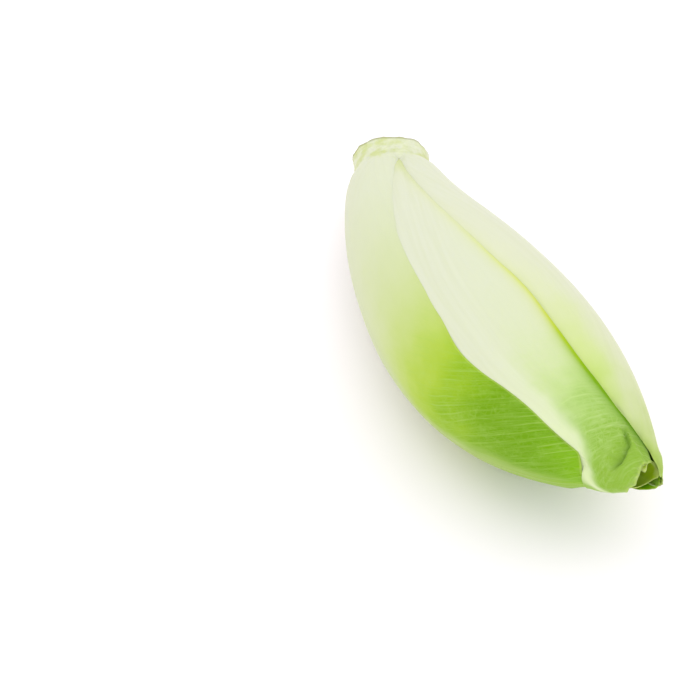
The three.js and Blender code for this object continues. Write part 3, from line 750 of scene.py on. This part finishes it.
# The right leaf was shaded, so it is white with a yellow-green end.
pale_leaf = leaf_material(
    "pale_outer_chicory_leaf",
    rib_stops=[(0.0, "#CED3B4"), (0.06, "#D3D6C1"), (0.6, "#D3D6BE"), (0.85, "#CFD5AE"), (0.94, "#BCCB86"),
               (1.0, "#98B648")],
    blade_stops=[(0.0, "#CED3B4"), (0.08, "#D3D6C0"), (0.5, "#D3D6BB"), (0.68, "#D1D7B2"), (0.78, "#CAD59A"),
                 (0.86, "#C4D684"), (0.93, "#AECA5A"), (1.0, "#88B030")],
    # painted shade for the groove along this leaf's upper edge
    crease_shade_stops=[(0.0, "#C6CE94"), (0.3, "#CED49C"), (0.58, "#CED87C"), (0.78, "#B2CE3C"), (1.0, "#8AB41C")],
    rib_width=(26.0, 12.0, 9.0), veins_from=0.9, veins_tint="#C4D594", vein_strength=0.3, rim_share=0.2)

# Where the leaves' edges and ends run. Degrees go round the head: 0 is on top, and seen from its tip 90 is on
# its left side and -90 on its right.
LEFT_EDGE = [[0, -6.5], [0.05, -6.4], [0.065, -5], [0.11, 3], [0.166, 10], [0.267, 22], [0.353, 30],
             [0.42, 33], [0.507, 37], [0.618, 44], [0.7, 51], [0.75, 51.5], [0.79, 50.5], [0.82, 50.5],
             [0.855, 52.5], [0.88, 56], [0.91, 61], [0.93, 65], [1, 78]]
LEFT_END = [[63, 0.922], [66, 0.93], [71, 0.9375], [80, 0.9445], [94, 0.948], [109, 0.948], [130, 0.941],
            [150, 0.928], [175, 0.905], [206, 0.89]]
RIGHT_EDGE = [[0, -7], [0.05, -6.9], [0.1, -5.5], [0.16, -7.5], [0.228, -9.9], [0.333, -9.8], [0.425, -9.9],
              [0.5, -10.6], [0.562, -11.8], [0.621, -13.8], [0.671, -14.3], [0.716, -13], [0.755, -11.8],
              [0.792, -11.2], [0.834, -11.6], [0.868, -13.4], [0.893, -16], [0.918, -20], [0.937, -25],
              [0.95, -29.5], [0.965, -37.5], [0.98, -52], [0.99, -69], [1, -85], [1.02, -99]]
RIGHT_END = [[-149, 1.012], [-130, 1.022], [-110, 1.018], [-90, 1.017], [-76, 1.016], [-68, 1.01], [-60, 1.0]]


def left_lift(places, degrees):
    """The left leaf's upper edge stands off a little, and its end clings to the head underneath."""
    upper_edge = np.exp(-mm_past(LEFT_EDGE, places, degrees, 1) / 2.0)
    return (0.15 * ease(places, 0.55, 0.7) * upper_edge
            - 0.6 * ease(places, 0.89, 0.93) * ease(degrees, 85, 125))


def right_lift(places, degrees):
    """The right leaf's end bulges on the far side of the tip."""
    return 0.7 * ease(places, 0.96, 0.99) * ease(-degrees, 62, 95)


def right_edge_tucked(places, degrees):
    """Painted shade: the right leaf's upper edge gets the darker crease colours where it turns down into the
    groove beside the second layer.
    """
    return 0.5 * np.exp(mm_past(RIGHT_EDGE, places, degrees, 1) / 1.1) * ease(places, 0.15, 0.5)


make_leaf("outer_leaf_left", "green_leaf", green_leaf, 1, ruffle=0.12, seed=1, first_edge=LEFT_EDGE,
          last_edge=[[0, 213], [1, 205]], end=LEFT_END, rows=190, columns=130, lift=left_lift)
make_leaf("outer_leaf_right", "pale_leaf", pale_leaf, 1, ruffle=0.1, seed=2, gap=-0.6,
          first_edge=[[0, -143], [1, -149]], last_edge=RIGHT_EDGE, end=RIGHT_END, rows=190, columns=110,
          ragged=0.5, lift=right_lift, tucked=right_edge_tucked)


# ---- Second layer ----
# Two leaves that fill the gap between the outermost ones. The top one shows its white rib and its green end,
# which is creased by a short fold. The end of the lower one frames the opening at the tip from below.
second_leaf = leaf_material(
    "second_chicory_leaf",
    rib_stops=[(0.0, "#C2CA7C"), (0.1, "#CFD4AE"), (0.16, "#D3D6C1"), (0.72, "#D2D6BF"), (0.9, "#D6E0B8"),
               (1.0, "#CCDEA0")],
    blade_stops=[(0.0, "#C2CA7C"), (0.1, "#CFD4AE"), (0.18, "#D2D6BE"), (0.54, "#D1D6BC"),
                 (0.72, "#D0D6B6"), (0.82, "#CAD6A4"), (0.87, "#BAD088"), (0.91, "#9CC05E"),
                 (0.96, "#84AC30"), (1.0, "#8AB03C")],
    # painted shade for the groove beside the outer right leaf and for the fold
    crease_shade_stops=[(0.0, "#BEC878"), (0.14, "#C0CA80"), (0.3, "#D0D69C"), (0.5, "#CED694"),
                  (0.63, "#CAD46C"), (0.72, "#BECA44"), (0.81, "#A2BE18"), (0.89, "#72A400"),
                  (0.95, "#4C7A00"), (1.0, "#2C4A00")],
    rib_width=(9.0, 2.2, 2.5), veins_from=0.81, veins_tint="#C0D88C", vein_strength=0.75, rim_share=0.3,
    vein_slope=0.2)

FOLD = [[-8, 0.954], [-2, 0.969], [15, 0.981], [38, 0.988], [60, 0.988], [78, 0.986]]
TOP_RIB = [[0, 2], [0.12, 6], [0.225, 11], [0.381, 23], [0.534, 33], [0.692, 41], [0.803, 48], [0.882, 52],
           [0.92, 62], [0.945, 80], [0.96, 100], [0.972, 125], [0.985, 150]]
TOP_END = [[-80, 0.985], [-56, 0.996], [-41, 1.0], [-28, 1.0025], [-18, 1.004], [-2, 1.0065], [12, 1.009],
           [30, 1.0135], [48, 1.017], [75, 1.019], [90, 1.018], [105, 1.012], [120, 1.008], [135, 1.002],
           [150, 0.992], [175, 0.97]]
LOWER_END = [[184, 0.992], [202, 1.006], [210, 1.014], [218, 1.018], [228, 1.018], [240, 1.012], [250, 1.004],
             [260, 0.997], [286, 0.985]]


def fold_strength(degrees):
    """The fold dies out at both ends: 1 in its middle and 0 beyond them."""
    return ease(degrees, -16, -4) * (1 - ease(degrees, 45, 78))


def top_lift(places, degrees):
    """The top leaf swells out past the end of the outer leaf over it, and past its own fold."""
    past = (places - smooth_line(FOLD, degrees)) * HEAD_LENGTH
    valley = 0.5 * np.exp(-((past + 0.9) / 1.0) ** 2)
    fold = ease(past, -0.2, 0.5) * (1 - 0.6 * ease(past, 1.5, 8)) - valley
    freed = (places - smooth_line(LEFT_END, degrees)) * HEAD_LENGTH
    on_side = 1.2 * ease(freed, 0.2, 2.6) * ease(degrees, 40, 75)
    below = 1.9 * ease(freed, -0.9, 0.5) + 0.3 * ease(freed, 0.8, 4) - 0.6 * ease(freed, 5, 11)
    turned_down = ease(degrees, 80, 105)
    return on_side * (1 - turned_down) + below * turned_down + 1.15 * fold * fold_strength(degrees)


def groove(places, degrees, width):
    """1 beside the outer right leaf's edge, and less with every mm away from it."""
    return np.exp(-np.maximum(mm_past(RIGHT_EDGE, places, degrees, 2) - 0.4, 0) / width)


def top_tucked(places, degrees):
    """Painted shade: deep green in the groove beside the outer right leaf, and in the fold."""
    from_fold = (places - smooth_line(FOLD, degrees)) * HEAD_LENGTH + 0.2
    in_fold = 0.5 * fold_strength(degrees) * np.exp(-(from_fold / 0.7) ** 2)
    return np.clip(groove(places, degrees, 1.3) * (0.5 + 0.5 * ease(places, 0.3, 0.6)) + in_fold, 0, 1)


def lower_lift(places, degrees):
    """The lower leaf's end flares out, most beside the top leaf."""
    return ease(places, 0.95, 0.985) * (1.4 + 0.6 * (1 - ease(degrees, 205, 225)))


make_leaf("second_leaf_top", "green_tipped_leaf", second_leaf, 2, ruffle=0.15, seed=3,
          first_edge=[[0, -50], [0.8, -56], [0.9, -63], [1, -80]],
          last_edge=[[0, 98], [0.6, 106], [0.85, 140], [0.95, 170], [1, 175]], end=TOP_END, rib=TOP_RIB,
          rows=260, columns=130, lift=top_lift, tucked=top_tucked)
make_leaf("second_leaf_under", "green_leaf", green_leaf, 2, ruffle=0.2, seed=4,
          first_edge=[[0, 132], [0.7, 140], [0.85, 160], [0.95, 180], [1, 184]],
          last_edge=[[0, 284], [1, 286]], end=LOWER_END, rows=150, columns=90, ragged=0.4, lift=lower_lift)


# ---- Young leaves ----
# Twelve softer leaves round the heart, two to a layer, turned against the layer around them and shorter by
# steps. Each grows out of the core. Only the ends of the first four show, in the opening at the tip.
inner_leaf = leaf_material(
    "young_chicory_leaf",
    # painted light: the rib and blade ramps end in a bright lime, lighter than the green before it, for light
    # shining through the thin leaf ends in the opening at the tip
    rib_stops=[(0.0, "#D4D7BA"), (0.4, "#D4D7B6"), (0.8, "#BCCA74"), (0.9, "#7CA414"), (0.96, "#547C00"),
               (1.0, "#BCE020")],
    blade_stops=[(0.0, "#D4D7BA"), (0.4, "#CDD4A0"), (0.75, "#A3BC4A"), (0.88, "#7CA414"), (0.96, "#547C00"),
                 (1.0, "#BCE020")],
    # painted shade for creases and grooves
    crease_shade_stops=[(0.0, "#C6CE9C"), (0.6, "#86A81C"), (0.9, "#507C00"), (1.0, "#365F00")],
    rib_width=(12.0, 1.0, 2.5), veins_from=0.8, veins_tint="#94B83C", vein_strength=0.4, rim_share=0.85)


def upper_young_lift(places, degrees):
    """The upper leaf's end stands off a little on its right half."""
    return 0.75 * ease(places, 0.93, 0.965) * (1 - ease(degrees, 0, 20))


def lower_young_lift(places, degrees):
    """The lower leaf's end stands off, most on the right, where its rim shows in the opening."""
    return ease(places, 0.96, 0.99) * (1.5 + 0.9 * ease(degrees, 235, 262))


# painted shade: the upper young leaf gets half the darker crease colour in the groove beside the outer right
# leaf
make_leaf("leaf_3a", "inner_leaf", inner_leaf, 3, seed=5,
          first_edge=[[0, -30], [0.85, -48], [0.93, -74], [1, -88]], last_edge=[[0, 92], [1, 98]],
          end=[[-88, 0.965], [-60, 0.978], [-50, 0.987], [-30, 0.998], [-7, 1.004], [10, 1.003], [30, 1.0],
               [98, 0.99]],
          rows=150, columns=110, lift=upper_young_lift, tucked=lambda p, a: 0.5 * groove(p, a, 1.0))
make_leaf("leaf_3b", "inner_leaf", inner_leaf, 3, seed=6, edge=0.3,
          first_edge=[[0, 104], [0.9, 118], [1, 140]],
          last_edge=[[0, 322], [0.85, 304], [0.93, 280], [1, 268]],
          end=[[140, 0.985], [190, 0.992], [210, 0.995], [230, 1.001], [250, 1.008], [260, 1.005],
               [268, 0.985]],
          rows=150, columns=130, ragged=0.3, lift=lower_young_lift)
make_leaf("leaf_4a", "inner_leaf", inner_leaf, 4, seed=8,
          first_edge=[[0, 48], [1, 52]], last_edge=[[0, 198], [1, 194]],
          end=[[48, 0.955], [88, 0.979], [123, 0.985], [158, 0.979], [198, 0.955]], rows=90, columns=60)
make_leaf("leaf_4b", "inner_leaf", inner_leaf, 4, seed=9,
          first_edge=[[0, 225], [1, 229]], last_edge=[[0, 373], [1, 380]],
          end=[[229, 0.95], [270, 0.97], [290, 0.985], [328, 1.001], [355, 1.009], [372, 1.008], [380, 1.0]],
          rows=110, columns=80, lift=lambda p, a: ease(p, 0.96, 0.99))
for layer in range(5, 9):
    turn = 55 + 68 * (layer - 3)
    half = 76 - 2 * (layer - 3)         # degrees from the middle of a leaf to its edge
    reach = 0.985 - 0.03 * (layer - 4)
    for side_name, centre, tip, seed in (("a", turn, reach, 2 * layer),
                                         ("b", turn + 176, reach + 0.012, 2 * layer + 1)):
        make_leaf(f"leaf_{layer}{side_name}", "inner_leaf", inner_leaf, layer, seed=seed,
                  first_edge=[[0, centre - half], [1, centre - half + 4]],
                  last_edge=[[0, centre + half], [1, centre + half - 4]],
                  end=[[centre - half, tip - 0.03], [centre - 35, tip - 0.006], [centre, tip],
                       [centre + 35, tip - 0.006], [centre + half, tip - 0.03]],
                  rows=50, columns=34)
